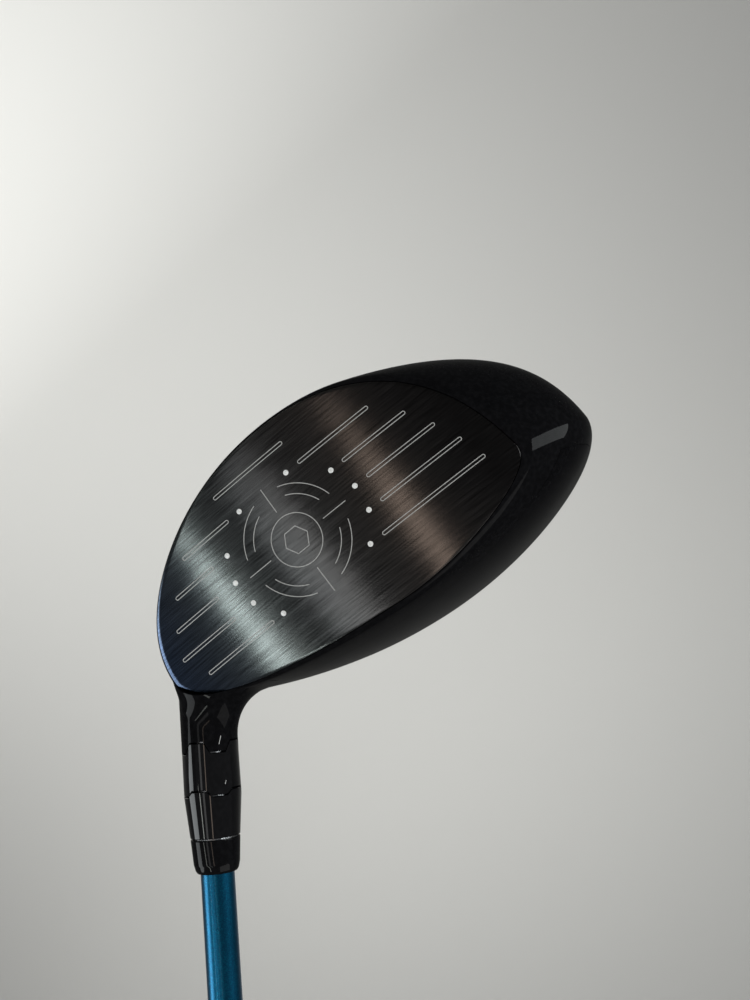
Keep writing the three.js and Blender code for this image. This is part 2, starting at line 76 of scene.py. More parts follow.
HOSEL_GROUND = np.array([23, -8.8, 0])
HOSEL_RADIUS = 7.2
HOSEL_TOP = 61.6
HOSEL_FILLET = 10  # towards the toe and the crown
HEEL_FILLET = 1.5
PORT_MOUTH = 16.5
PORT_RADIUS = 7.2
PORT_BORE = 5.7
SCREW_SEAT = 22.6
COG_SPLIT = 72.8
COG_TOP = 84.2
COG_BORE = 5.12
COG_RADIUS = HOSEL_RADIUS + 0.03
COG_TOP_RADIUS = 6.28
SLEEVE_BOTTOM = 32
FERRULE_TOP = 92.6
TOOTH_COUNT = 4
TOOTH_HEIGHT = 2.6
TOOTH_GAP = 0.3  # the CAD's is 0.4

SHAFT_TIP = 45
SHAFT_TIP_RADIUS = 4.25
SHAFT_BUTT_RADIUS = 7.6
SHAFT_PARALLEL_TIP = 120
GRIP_LENGTH = 267
GRIP_CAP_THICKNESS = 5
GRIP_CAP_RADIUS = 13.4
GROOVE_PITCH = 9.0
GROOVE_WIDTH = 0.16  # as a share of half the pitch
GROOVE_DEPTH = 0.38

WEIGHT_RADIUS = 9
WEIGHT_RIM = 2.15  # width of the metal ring round the weight's well
WEIGHT_WELL_FLOOR = -7.3
WEIGHT_BACK = 96

SCORE_PITCH = 6.65
SCORE_FIRST = -21.3
SCORE_WIDTH = 1.05
SCORE_STROKE = 0.2
DOT_RADIUS = 0.68
MARK_RADIUS = 15.4
INLAY_PROUD = 0.015

# ---------------------------------------------------------------- camera
CAMERA_FROM_FACE = np.array([-67.1, -219.5, 80.2])
CAMERA_FORWARD = Vector((0.1928, 0.9279, -0.3192))
CAMERA_UP = Vector((-0.6170, -0.1384, -0.7747))


def make_camera():
    data = bpy.data.cameras.new("camera")
    data.sensor_width = 36
    data.lens = 36
    data.clip_start = 0.01
    data.clip_end = 50
    camera = bpy.data.objects.new("camera", data)
    bpy.context.scene.collection.objects.link(camera)
    back = -CAMERA_FORWARD.normalized()
    side = CAMERA_UP.cross(back).normalized()
    up = back.cross(side)
    turn = Matrix((side, up, back)).transposed().to_4x4()
    place = Vector((FACE_CENTRE + CAMERA_FROM_FACE) * MM)
    camera.matrix_world = Matrix.Translation(place) @ turn
    bpy.context.scene.camera = camera


make_camera()


# ---------------------------------------------------------------- mesh helpers
def make_piece(name, vertices, faces, material, body, node=None, slot=None, crease=35):
    """A mesh object from millimetre vertices that rides on a body and may replace a CAD node."""
    mesh = bpy.data.meshes.new(name)
    mesh.from_pydata((np.asarray(vertices, float) * MM).tolist(), [], [list(map(int, f)) for f in faces])
    mesh.validate()
    piece = bpy.data.objects.new(name, mesh)
    bpy.context.scene.collection.objects.link(piece)
    return finish_piece(piece, material, body, node, crease)


def finish_piece(piece, material, body, node=None, crease=35):
    piece.data.materials.clear()
    piece.data.materials.append(material)
    piece.data.shade_smooth()
    piece.data.set_sharp_from_angle(angle=math.radians(crease))
    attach(piece, body)
    if node:
        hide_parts(node)
    return piece


def closed_rings(rings, start=None, end=None, loop=False):
    """Vertices and faces over rings of points; the ends close on points, or the rings on themselves."""
    count = len(rings[0])
    vertices = np.concatenate(rings)
    faces = []
    last = len(rings)
    for r in range(last if loop else last - 1):
        a, b = r * count, ((r + 1) % last) * count
        for i in range(count):
            j = (i + 1) % count
            faces.append((a + i, b + i, b + j, a + j))
    if not loop:
        extra = len(vertices)
        vertices = np.concatenate([vertices, [start, end]])
        for i in range(count):
            j = (i + 1) % count
            faces.append((extra, i, j))
            faces.append((extra + 1, (last - 1) * count + j, (last - 1) * count + i))
    return vertices, faces


def rounded(profile, radius):
    """The [radius, height] corners of a closed profile with each corner cut by a small arc."""
    points = np.asarray(profile, float)
    out = []
    for i, corner in enumerate(points):
        before, after = points[i - 1], points[(i + 1) % len(points)]
        a, b = before - corner, after - corner
        reach = min(radius, np.linalg.norm(a) * 0.45, np.linalg.norm(b) * 0.45)
        start = corner + a / np.linalg.norm(a) * reach
        end = corner + b / np.linalg.norm(b) * reach
        for k in np.linspace(0, 1, 5):
            out.append((1 - k) ** 2 * start + 2 * k * (1 - k) * corner + k**2 * end)
    return out


def turned(profile, sides=128, corner=0.2):
    """A closed ring turned about +Z from a profile that lists its corners anticlockwise."""
    points = np.array(rounded(profile, corner) if corner else profile)
    angles = np.linspace(0, 2 * math.pi, sides, endpoint=False)
    rings = [np.stack([r * np.cos(angles), r * np.sin(angles), np.full(sides, z)], 1) for r, z in points]
    return closed_rings(rings[::-1], loop=True)


HOSEL_FRAME = np.array(Matrix.Rotation(math.pi / 2 - LIE, 3, "Y"))


def along(vertices):
    """From the shaft's own frame, with +Z up the shaft from the ground, to the row frame."""
    return np.asarray(vertices) @ HOSEL_FRAME.T + HOSEL_GROUND


def make_solid(name, vertices, faces):
    mesh = bpy.data.meshes.new(name)
    mesh.from_pydata((np.asarray(vertices, float) * MM).tolist(), [], [list(map(int, f)) for f in faces])
    solid = bpy.data.objects.new(name, mesh)
    bpy.context.scene.collection.objects.link(solid)
    work = bmesh.new()
    work.from_mesh(mesh)
    bmesh.ops.recalc_face_normals(work, faces=work.faces)
    work.to_mesh(mesh)
    work.free()
    return solid


def combine(target, tool, operation, keep_tool=False):
    """Joins, cuts or intersects two closed meshes, and leaves the result in the first."""
    modifier = target.modifiers.new("combine", "BOOLEAN")
    modifier.operation = operation
    modifier.object = tool
    modifier.solver = "MANIFOLD"
    evaluated = target.evaluated_get(bpy.context.evaluated_depsgraph_get())
    mesh = bpy.data.meshes.new_from_object(evaluated)
    target.modifiers.clear()
    target.data = mesh
    if not keep_tool:
        bpy.data.objects.remove(tool)
    return target


def bar(radius, bottom, top, sides=96):
    angles = np.linspace(0, 2 * math.pi, sides, endpoint=False)
    ring = np.stack([radius * np.cos(angles), radius * np.sin(angles), np.zeros(sides)], 1)
    rings = [ring + (0, 0, bottom), ring + (0, 0, top)]
    return closed_rings(rings, np.array([0, 0, bottom]), np.array([0, 0, top]))


# ---------------------------------------------------------------- head surface
# Head coordinates are from the face centre: toe t, back y, up z.
def closure(value, power, root):
    return np.maximum(0, 1 - np.maximum(0, value) ** power) ** root


def reaches(y, z):
    """Half sizes of the section at depth y. The toe closes along the lofted face, hence the height z."""
    behind = y - z * math.tan(LOFT)

    def front(at, start, length):
        return np.sqrt(np.maximum(0.05, 1 - (np.maximum(0, start - at) / length) ** 2))

    def rear(start, power, root):
        return closure((y - start) / (HEAD_DEPTH - start), power, root)

    return {
        "centre": SECTION_CENTRE - REAR_SHIFT * (np.maximum(0, y) / HEAD_DEPTH) ** 2,
        "skirt": SKIRT_HEIGHT - SKIRT_REAR_FALL * y,
        "toe": TOE_REACH * front(behind, 32, 37.7) * rear(36, 2, 0.55),
        "heel": HEEL_REACH * rear(15, 1.8, 0.6),
        "crown": CROWN_RISE * front(y, 50, 68) * rear(50, 1.72, 0.5),
        "sole": SOLE_DROP * rear(0, 1.7, 0.6),
    }


def fullness(cos, sin):
    upper_toe, upper_heel, lower_toe, lower_heel = -0.03, 0, 0.058, -0.03
    upper = np.where(cos > 0, upper_toe, upper_heel)
    lower = np.where(cos > 0, lower_toe, lower_heel)
    return 1 + np.where(sin > 0, upper, lower) * (2 * cos * sin) ** 2


def skirt_at(t, skirt):
    return skirt + SKIRT_TOE_RISE * (t - SECTION_CENTRE)


def body_point(angle, y, inset=0.0):
    stretched = np.where(y > 0, y * HEAD_DEPTH / (HEAD_DEPTH - inset), y)
    cos, sin = np.cos(angle), np.sin(angle)
    full = fullness(cos, sin)

    def shrink(value):
        return np.maximum(value - inset, 0.02 * value)

    level = reaches(stretched, 0)
    upright = shrink(np.where(sin > 0, level["crown"], level["sole"])) * full * sin
    reach = reaches(stretched, level["skirt"] + upright)

    t = reach["centre"] + shrink(np.where(cos > 0, reach["toe"], reach["heel"])) * full * cos
    z = skirt_at(t, reach["skirt"]) + shrink(np.where(sin > 0, reach["crown"], reach["sole"])) * full * sin
    return np.stack(np.broadcast_arrays(t, y, z), -1)


def face_curve(t, u):
    return (t * t + u * u) / (2 * BULGE_RADIUS)


def up_face(p):
    return p[..., 1] * math.sin(LOFT) + p[..., 2] * math.cos(LOFT)


def behind_face(p):
    return p[..., 1] * math.cos(LOFT) - p[..., 2] * math.sin(LOFT) - face_curve(p[..., 0], up_face(p))


def face_point(t, u, depth=0.0):
    t, u, depth = np.broadcast_arrays(np.asarray(t, float), np.asarray(u, float), np.asarray(depth, float))
    b = face_curve(t, u) + depth
    y = u * math.sin(LOFT) + b * math.cos(LOFT)
    z = u * math.cos(LOFT) - b * math.sin(LOFT)
    return np.stack([t, y, z], -1)


def to_row(p):
    return np.stack([-p[..., 0], p[..., 1], p[..., 2]], -1) + FACE_CENTRE


def edge_depth(angle, inset):
    low, high = np.full_like(angle, -20.0), np.full_like(angle, 45.0)
    for _ in range(40):
        middle = (low + high) / 2
        inside = behind_face(body_point(angle, middle, inset)) > inset
        high = np.where(inside, middle, high)
        low = np.where(inside, low, middle)
    return (low + high) / 2


def head_form(inset, around, along_face, along_edge, along_body):
    """Vertices and faces of the head without its hosel, inset by that many millimetres."""
    angle = -np.linspace(0, 2 * math.pi, around, endpoint=False)
    depth = edge_depth(angle, inset)
    edge = body_point(angle, depth, inset)
    reach_t, reach_u = edge[:, 0] - FACE_MIDDLE[0], up_face(edge) - FACE_MIDDLE[1]
    reach_out = np.hypot(reach_t, reach_u)
    lines = []
    for k in range(1, along_face + 1):
        share = (1 - EDGE_SETBACK / reach_out) * k / along_face
        t, u = FACE_MIDDLE[0] + reach_t * share, FACE_MIDDLE[1] + reach_u * share
        lines.append(face_point(t, u, inset))
    face_end = lines[-1]
    step = np.zeros_like(angle)
    for _ in range(200):
        short = np.linalg.norm(edge - body_point(angle, depth + step, inset), axis=1) < EDGE_SETBACK
        step = step + 0.02 * short
    body_start = body_point(angle, depth + step, inset)
    for k in np.linspace(0, 1, along_edge + 2)[1:-1]:
        lines.append((1 - k) ** 2 * face_end + 2 * k * (1 - k) * edge + k**2 * body_start)
    lines.append(body_start)
    length = HEAD_DEPTH - inset - depth - step
    for k in range(1, along_body):
        share = math.sin(k / along_body * math.pi / 2)
        lines.append(body_point(angle, depth + step + length * share, inset))
    first = to_row(face_point(*FACE_MIDDLE, inset))
    last = to_row(body_point(np.array(0.0), np.array(HEAD_DEPTH - inset), inset))
    return closed_rings([to_row(line) for line in lines], first, last)


def head_distance(points):
    p = points - FACE_CENTRE

    def measure(x, y, z):
        t = -x
        reach = reaches(y, z)
        across = t - reach["centre"]
        up = z - skirt_at(t, reach["skirt"])
        a = across / np.maximum(np.where(across > 0, reach["toe"], reach["heel"]), 0.5)
        c = up / np.maximum(np.where(up > 0, reach["crown"], reach["sole"]), 0.5)
        radius = np.maximum(np.hypot(a, c), 1e-6)
        return radius / fullness(a / radius, c / radius) - 1

    x, y, z = p[..., 0], p[..., 1], p[..., 2]
    e = 0.05
    slope = np.sqrt(
        ((measure(x + e, y, z) - measure(x - e, y, z)) / (2 * e)) ** 2
        + ((measure(x, y + e, z) - measure(x, y - e, z)) / (2 * e)) ** 2
        + ((measure(x, y, z + e) - measure(x, y, z - e)) / (2 * e)) ** 2
    )
    front = -behind_face(np.stack([-x, y, z], -1))
    side = measure(x, y, z) / slope
    rounding = 3  # a little more than the edge's own, so that the neck stays under it
    corner = np.hypot(side + rounding, front + rounding) - rounding
    return np.where((side > -rounding) & (front > -rounding), corner, np.maximum(side, front))


def hosel_radius(station):
    rounding = 1.2
    past = np.maximum(0, PORT_MOUTH + rounding - station)
    belly = np.clip((station - 30) / 12, 0, 1)
    belly = belly * belly * (3 - 2 * belly)
    return PORT_RADIUS + (HOSEL_RADIUS - PORT_RADIUS) * belly - rounding + np.sqrt(rounding**2 - past**2)


def neck_form(sides=160):
    """The neck, its flare into the head and the screw's housing below."""
    mouth = PORT_MOUTH + 1.2 * (1 - np.cos(np.linspace(0, math.pi / 2, 7)))
    stations = np.concatenate([mouth, np.linspace(18.6, 64, 62)])[::-1]
    furthest, buried = 21, 0.06
    angles = np.linspace(0, 2 * math.pi, sides, endpoint=False)

    def ring(radius, station):
        return along(np.stack([radius * np.cos(angles), radius * np.sin(angles), np.full(sides, station)], 1))

    rings = []
    for station in stations:
        low, high = np.ones(sides), np.full(sides, float(furthest))
        rising = np.clip((station - 38) / 12, 0, 1)
        toeward = rising**2 * (3 - 2 * rising) * ((1 - np.cos(angles)) / 2) ** 0.7
        fillet = HEEL_FILLET + (HOSEL_FILLET - HEEL_FILLET) * toeward
        for _ in range(28):
            middle = (low + high) / 2
            head = head_distance(ring(middle, station)) + buried
            neck = middle - hosel_radius(station)
            corner = np.hypot(np.maximum(fillet - head, 0), np.maximum(fillet - neck, 0))
            outside = np.maximum(fillet, np.minimum(head, neck)) - corner > 0
            high = np.where(outside, middle, high)
            low = np.where(outside, low, middle)
        rings.append(ring(low, station))
    ends = along(np.array([[0, 0, stations[0]], [0, 0, stations[-1]]]))
    return closed_rings(rings, ends[0], ends[1])


def tooth_wave(angle):
    turn = (angle * TOOTH_COUNT / (2 * math.pi)) % 1
    flank = 0.14

    def ramp(at):
        return np.clip((turn - at) / flank + 0.5, 0, 1)

    return TOOTH_HEIGHT * (ramp(0.25) - ramp(0.75)) - TOOTH_HEIGHT / 2


def toothed_ring(inner, outer_bottom, outer_top, bottom, top, bevel=0.18, sides=360):
    """A ring whose lower and upper ends follow a height for each angle."""
    angles = np.linspace(0, 2 * math.pi, sides, endpoint=False)
    low, high = bottom(angles), top(angles)
    loops = [
        (inner, low), (outer_bottom - bevel, low), (outer_bottom, low + bevel),
        (outer_top, high - bevel), (outer_top - bevel, high), (inner, high),
    ]
    rings = [np.stack([r * np.cos(angles), r * np.sin(angles), z], 1) for r, z in loops]
    return closed_rings(rings, loop=True)


# ---------------------------------------------------------------- panel outlines
def crown_prism(grow):
    steps = 70
    share = np.sin(np.linspace(0, math.pi / 2, steps + 1))
    front, back = CROWN_FRONT - grow, HEAD_DEPTH - 4 + grow
    y = front + (back - front) * share
    reach = reaches(y, SKIRT_HEIGHT)
    toe = -(reach["centre"] + reach["toe"] * CROWN_SEAM_SCALE + grow)
    heel = -(reach["centre"] - reach["heel"] * CROWN_SEAM_SCALE - grow)
    outline = np.concatenate([np.stack([toe, y], 1)[::-1], np.stack([heel, y], 1)])
    skirt = skirt_at(-outline[:, 0], SKIRT_HEIGHT - SKIRT_REAR_FALL * outline[:, 1]) + 1
    low = np.column_stack([outline, skirt]) + FACE_CENTRE
    high = np.column_stack([outline, np.full(len(outline), 60.0)]) + FACE_CENTRE
    middle = np.array([-SECTION_CENTRE, HEAD_DEPTH / 2])
    floor = skirt_at(SECTION_CENTRE, SKIRT_HEIGHT - SKIRT_REAR_FALL * middle[1]) + 1
    ends = [np.array([*middle, z]) + FACE_CENTRE for z in (60, floor)]
    prism = make_solid("prism", *closed_rings([high, low], ends[0], ends[1]))
    vertices, faces = bar(CROWN_CLEAR_OF_NECK - grow, 20, 110)
    return combine(prism, make_solid("notch", along(vertices), faces), "DIFFERENCE")


def face_outline(around, inset):
    angle = -np.linspace(0, 2 * math.pi, around, endpoint=False)
    edge = body_point(angle, edge_depth(angle, 0), 0)
    t, u = edge[:, 0] - FACE_MIDDLE[0], up_face(edge) - FACE_MIDDLE[1]
    share = 1 - inset / np.hypot(t, u)
    return t * share, u * share


def face_block(inset, layers, inner_steps=24, around=288):
    """A closed slab inside the face's outline; layers list (extra inset, depth) from front to back."""
    t, u = face_outline(around, inset)
    size = np.hypot(t, u)

    def ring(share, extra, depth):
        part = share * (1 - extra / size)
        return to_row(face_point(FACE_MIDDLE[0] + t * part, FACE_MIDDLE[1] + u * part, depth))

    rings = [ring(k / inner_steps, *layers[0]) for k in range(1, inner_steps)]
    rings += [ring(1, extra, depth) for extra, depth in layers]
    rings += [ring(k / inner_steps, *layers[-1]) for k in range(inner_steps - 1, 0, -1)]
    ends = [to_row(face_point(*FACE_MIDDLE, depth)) for depth in (layers[0][1], layers[-1][1])]
    return closed_rings(rings, ends[0], ends[1])


# ---------------------------------------------------------------- materials
def principled(name, color, metallic, roughness, **inputs):
    material = bpy.data.materials.new(name)
    material.use_nodes = True
    shader = material.node_tree.nodes["Principled BSDF"]
    settings = {"Base Color": (*color, 1), "Metallic": metallic, "Roughness": roughness}
    for key, value in inputs.items():
        settings[key.replace("_", " ").title().replace("Ior", "IOR")] = value
    for key, value in settings.items():
        shader.inputs[key].default_value = value
    return material


class Nodes:
    """Short ways to add and link nodes in one material."""

    def __init__(self, material):
        self.tree = material.node_tree
        self.shader = self.tree.nodes["Principled BSDF"]

    def add(self, kind, **settings):
        node = self.tree.nodes.new(kind)
        for key, value in settings.items():
            if key in node.inputs:
                node.inputs[key].default_value = value
            else:
                setattr(node, key, value)
        return node

    def link(self, source, target):
        self.tree.links.new(source, target)

    def place(self, scale=(1, 1, 1), source="Object"):
        coordinates = self.add("ShaderNodeTexCoord")
        mapping = self.add("ShaderNodeMapping", Scale=scale)
        self.link(coordinates.outputs[source], mapping.inputs["Vector"])
        return mapping.outputs["Vector"]

    def noise(self, scale, detail=2.0, roughness=0.5, stretch=(1, 1, 1), source="Object"):
        node = self.add("ShaderNodeTexNoise", Scale=scale, Detail=detail, Roughness=roughness)
        self.link(self.place(stretch, source), node.inputs["Vector"])
        return node.outputs["Fac"]

    def ramp(self, value, *stops):
        node = self.add("ShaderNodeValToRGB")
        elements = node.color_ramp.elements
        while len(elements) < len(stops):
            elements.new(0.5)
        for element, (position, color) in zip(elements, stops):
            element.position = position
            element.color = (*color, 1)
        self.link(value, node.inputs["Fac"])
        return node.outputs["Color"]

    def spread(self, value, low, high):
        node = self.add("ShaderNodeMapRange")
        node.inputs["To Min"].default_value = low
        node.inputs["To Max"].default_value = high
        self.link(value, node.inputs["Value"])
        return node.outputs["Result"]

    def bump(self, height, strength, distance):
        node = self.add("ShaderNodeBump", Strength=strength, Distance=distance)
        self.link(height, node.inputs["Height"])
        self.link(node.outputs["Normal"], self.shader.inputs["Normal"])


def gloss_paint(name, color, coat=0.1):
    """Deep lacquer with faint dust, handling smears and orange peel."""
    clear = {"coat_weight": coat, "coat_roughness": 0.02, "specular_ior_level": 0.0}
    material = principled(name, color, 0.0, 0.3, **clear)
    nodes = Nodes(material)
    smears = nodes.noise(38, 5, 0.6)
    nodes.link(nodes.spread(smears, 0.14, 0.3), nodes.shader.inputs["Roughness"])
    tint = tuple(c * 1.8 + 0.001 for c in color)
    dust = nodes.ramp(nodes.noise(900, 2), (0.42, color), (0.8, tint))
    nodes.link(dust, nodes.shader.inputs["Base Color"])
    nodes.bump(nodes.noise(520, 2), 0.05, 0.00005)
    return material


def brushed_face():
    """Dark plated metal brushed from heel to toe; a bluish painted reflection near the heel and painted shade
    towards the toe are in its colour. In the UV map V runs from heel to toe and U up the face.
    """
    material = principled("face_metal", (0.1, 0.1, 0.105), 1.0, 0.27, anisotropic=0.96)
    nodes = Nodes(material)
    tangent = nodes.add("ShaderNodeTangent", direction_type="UV_MAP", uv_map="face_map")
    nodes.link(tangent.outputs["Tangent"], nodes.shader.inputs["Tangent"])
    fine = nodes.noise(1, 3, 0.7, (5, 0.14, 1), "UV")
    coarse = nodes.noise(1, 2, 0.6, (2.4, 0.06, 1), "UV")
    lines = nodes.add("ShaderNodeMath", operation="ADD")
    nodes.link(fine, lines.inputs[0])
    nodes.link(coarse, lines.inputs[1])
    half = nodes.add("ShaderNodeMath", operation="MULTIPLY")
    half.inputs[1].default_value = 0.5
    nodes.link(lines.outputs[0], half.inputs[0])
    nodes.link(nodes.spread(half.outputs[0], 0.12, 0.3), nodes.shader.inputs["Roughness"])
    # painted reflection and shade: from heel to toe the colour goes from near black at the heel edge to a
    # bluish painted reflection, is lightest over the middle and darkens again as painted shade towards the
    # toe
    across = nodes.add("ShaderNodeSeparateXYZ")
    nodes.link(nodes.place((1, 1, 1), "UV"), across.inputs["Vector"])
    toeward = nodes.add("ShaderNodeMapRange")
    toeward.inputs["From Min"].default_value = -55
    toeward.inputs["From Max"].default_value = 60
    nodes.link(across.outputs["Y"], toeward.inputs["Value"])
    tint = nodes.ramp(
        toeward.outputs["Result"],
        (0.0, (0.008, 0.011, 0.018)),
        (0.07, (0.04, 0.056, 0.09)),
        (0.25, (0.064, 0.073, 0.076)),
        (0.6, (0.056, 0.053, 0.051)),
        (0.9, (0.018, 0.017, 0.017)),
    )
    shade = nodes.add("ShaderNodeMix", data_type="RGBA", blend_type="MULTIPLY")
    shade.inputs["Factor"].default_value = 1.0
    nodes.link(tint, shade.inputs[6])
    brushed = nodes.ramp(half.outputs[0], (0.36, (0.42, 0.42, 0.42)), (0.64, (1.5, 1.5, 1.5)))
    nodes.link(brushed, shade.inputs[7])
    nodes.link(shade.outputs[2], nodes.shader.inputs["Base Color"])
    nodes.bump(half.outputs[0], 0.25, 0.00003)
    return material


def etched_white(name, color, roughness):
    material = principled(name, color, 0.0, roughness)
    nodes = Nodes(material)
    worn = nodes.noise(2600, 3)
    dim = tuple(c * 0.72 for c in color)
    nodes.link(nodes.ramp(worn, (0.35, dim), (0.6, color)), nodes.shader.inputs["Base Color"])
    return material


def satin_metal(name, color, roughness, metallic=1.0, grain=1400, coat=0.0):
    """Turned or anodised metal with a fine grain."""
    material = principled(name, color, metallic, roughness, coat_weight=coat, coat_roughness=0.08)
    nodes = Nodes(material)
    grains = nodes.noise(grain, 3)
    nodes.link(nodes.spread(grains, roughness * 0.75, roughness * 1.3), nodes.shader.inputs["Roughness"])
    dark = tuple(c * 0.85 for c in color)
    mottled = nodes.ramp(nodes.noise(90, 3), (0.35, dark), (0.65, color))
    nodes.link(mottled, nodes.shader.inputs["Base Color"])
    nodes.bump(grains, 0.06, 0.00003)
    return material


def blue_lacquer():
    """Metallic blue flake under clear lacquer."""
    blue = (0.0, 0.08, 0.2)
    material = principled("shaft_blue", blue, 0.9, 0.3, coat_weight=0.05, coat_roughness=0.03)
    nodes = Nodes(material)
    flakes = nodes.add("ShaderNodeTexVoronoi", Scale=5200.0)
    nodes.link(nodes.place(), flakes.inputs["Vector"])
    sparkle = nodes.add("ShaderNodeSeparateColor")
    nodes.link(flakes.outputs["Color"], sparkle.inputs["Color"])
    shades = (0.0, (0.0, 0.04, 0.09)), (0.7, (0.0, 0.065, 0.13)), (1.0, (0.0, 0.09, 0.17))
    tint = nodes.ramp(sparkle.outputs["Red"], *shades)
    nodes.link(tint, nodes.shader.inputs["Base Color"])
    nodes.link(nodes.spread(nodes.noise(70, 3), 0.24, 0.36), nodes.shader.inputs["Roughness"])
    nodes.bump(sparkle.outputs["Green"], 0.03, 0.00002)
    return material


def rubber(name, color):
    material = principled(name, color, 0.0, 0.72, sheen_weight=0.15, sheen_roughness=0.5)
    nodes = Nodes(material)
    pores = nodes.noise(1900, 4, 0.65)
    nodes.link(nodes.spread(nodes.noise(45, 4), 0.6, 0.86), nodes.shader.inputs["Roughness"])
    light = tuple(c * 1.8 for c in color)
    worn = nodes.ramp(nodes.noise(60, 5), (0.4, color), (0.75, light))
    nodes.link(worn, nodes.shader.inputs["Base Color"])
    nodes.bump(pores, 0.35, 0.0001)
    return material


def fibrous(name, color, scale):
    material = principled(name, color, 0.0, 0.9)
    nodes = Nodes(material)
    grain = nodes.noise(scale, 4, 0.7)
    dark = tuple(c * 0.55 for c in color)
    nodes.link(nodes.ramp(grain, (0.35, dark), (0.6, color)), nodes.shader.inputs["Base Color"])
    nodes.bump(grain, 0.5, 0.0002)
    return material


MATERIALS = {
    "body": gloss_paint("body_black", (0.003, 0.003, 0.0035)),
    "crown": gloss_paint("crown_black", (0.0025, 0.0025, 0.003)),
    "face": brushed_face(),
    "etch": etched_white("etched_line", (0.44, 0.44, 0.43), 0.5),
    "dots": etched_white("white_fill", (0.86, 0.87, 0.86), 0.45),
    "adapter": gloss_paint("adapter_black", (0.0025, 0.0025, 0.003), 0.45),
    "ferrule": gloss_paint("ferrule_black", (0.0025, 0.0025, 0.003), 0.2),
    "alloy": satin_metal("bare_alloy", (0.55, 0.56, 0.58), 0.28),
    "port": satin_metal("port_metal", (0.07, 0.072, 0.078), 0.3),
    "weight": satin_metal("weight_steel", (0.5, 0.51, 0.53), 0.25),
    "screw": satin_metal("dark_steel", (0.1, 0.1, 0.105), 0.32),
    "shaft": blue_lacquer(),
    "cork": fibrous("cork", (0.45, 0.28, 0.14), 900),
    "tape": fibrous("tape", (0.7, 0.66, 0.55), 700),
    "grip": rubber("grip_rubber", (0.012, 0.012, 0.0125)),
    "cap": rubber("cap_rubber", (0.009, 0.009, 0.0095)),
}


# ---------------------------------------------------------------- head
def weight_frame():
    """The rear weight's port: its centre on the sole and its axis out of the head."""
    angle = np.array(-math.pi / 2)
    spot, ahead, behind = (body_point(angle, np.array(float(WEIGHT_BACK + step))) for step in (0, -1, 1))
    slope = math.atan2(behind[2] - ahead[2], behind[1] - ahead[1])
    return np.array(Matrix.Rotation(math.pi + slope, 3, "X")), to_row(spot)


WEIGHT_TURN, WEIGHT_PLACE = weight_frame()


def at_weight(vertices):
    return np.asarray(vertices) @ WEIGHT_TURN.T + WEIGHT_PLACE


def tool(shape, place=None):
    vertices, faces = shape
    return make_solid("tool", place(vertices) if place else vertices, faces)


def outer_form(inset=SKIN):
    form = make_solid("outer", *head_form(inset, 320, 10, 9, 110))
    combine(form, tool(neck_form()), "UNION")
    ground = make_solid("ground", *bar(300, -50, 0, 8))
    return combine(form, ground, "DIFFERENCE")


def make_head():
    outer = outer_form()
    crown = outer.copy()
    crown.data = outer.data.copy()
    crown.name = "crown_panel"
    bpy.context.scene.collection.objects.link(crown)
    seam, under_crown = 0.12, CROWN_THICKNESS + 0.3
    land = crown_prism(seam)
    combine(land, make_solid("under", *head_form(under_crown, 160, 3, 3, 60)), "DIFFERENCE")
    combine(outer, land, "DIFFERENCE")
    face_seam, behind_plate = 0.15, FACE_THICKNESS + 0.2
    pocket = face_block(FACE_INSET - face_seam, [(0, -12), (0, behind_plate)])
    combine(outer, tool(pocket), "DIFFERENCE")
    combine(outer, tool(bar(PORT_BORE, -10, SCREW_SEAT), along), "DIFFERENCE")
    combine(outer, tool(bar(COG_BORE, SCREW_SEAT - 2, 70), along), "DIFFERENCE")
    teeth = toothed_ring(
        3, 12, 12,
        lambda a: HOSEL_TOP + tooth_wave(a),
        lambda a: np.full_like(a, HOSEL_TOP + 12),
        0.0,
    )
    combine(outer, tool(teeth, along), "DIFFERENCE")
    combine(outer, tool(bar(WEIGHT_RADIUS + WEIGHT_RIM, WEIGHT_WELL_FLOOR, 12), at_weight), "DIFFERENCE")
    bolt_hole = bar(2.2, -9, -7)
    combine(outer, tool(bolt_hole, at_weight), "DIFFERENCE")
    outer.name = "head_shell"
    finish_piece(outer, MATERIALS["body"], "head", "head_body", 32)
    combine(crown, make_solid("under", *head_form(CROWN_THICKNESS, 160, 3, 3, 60)), "DIFFERENCE")
    combine(crown, crown_prism(0), "INTERSECT")
    finish_piece(crown, MATERIALS["crown"], "head", "crown_shell", 32)


def make_face():
    layers = [(0.25, 0.02), (0.08, 0.09), (0, 0.25), (0, FACE_THICKNESS)]
    vertices, faces = face_block(FACE_INSET, layers, 48)
    face = make_solid("face_insert", vertices, faces)
    combine(face, tool(bar(COG_BORE, SCREW_SEAT - 2, 70), along), "DIFFERENCE")
    finish_piece(face, MATERIALS["face"], "head", "face_plate")
    face.data.uv_layers.new(name="face_map")
    corners = np.empty(len(face.data.loops), int)
    face.data.loops.foreach_get("vertex_index", corners)
    places = np.empty(len(face.data.vertices) * 3)
    face.data.vertices.foreach_get("co", places)
    local = places.reshape(-1, 3)[corners] / MM - FACE_CENTRE
    t = -local[:, 0]
    u = local[:, 1] * math.sin(LOFT) + local[:, 2] * math.cos(LOFT)
    pairs = np.stack([u, t], 1).astype(np.float32)
    face.data.uv_layers["face_map"].data.foreach_set("uv", pairs.ravel())


# ---------------------------------------------------------------- etched marks
def ribbon(points, width, closed):
    """Left and right edges, in face coordinates, of a stroke along points."""
    points = np.asarray(points, float)
    ahead = np.roll(points, -1, 0)
    behind = np.roll(points, 1, 0)
    if not closed:
        ahead[-1], behind[0] = points[-1], points[0]
    run = ahead - behind
    run /= np.linalg.norm(run, axis=1)[:, None]
    side = np.stack([-run[:, 1], run[:, 0]], 1) * width / 2
    return points + side, points - side


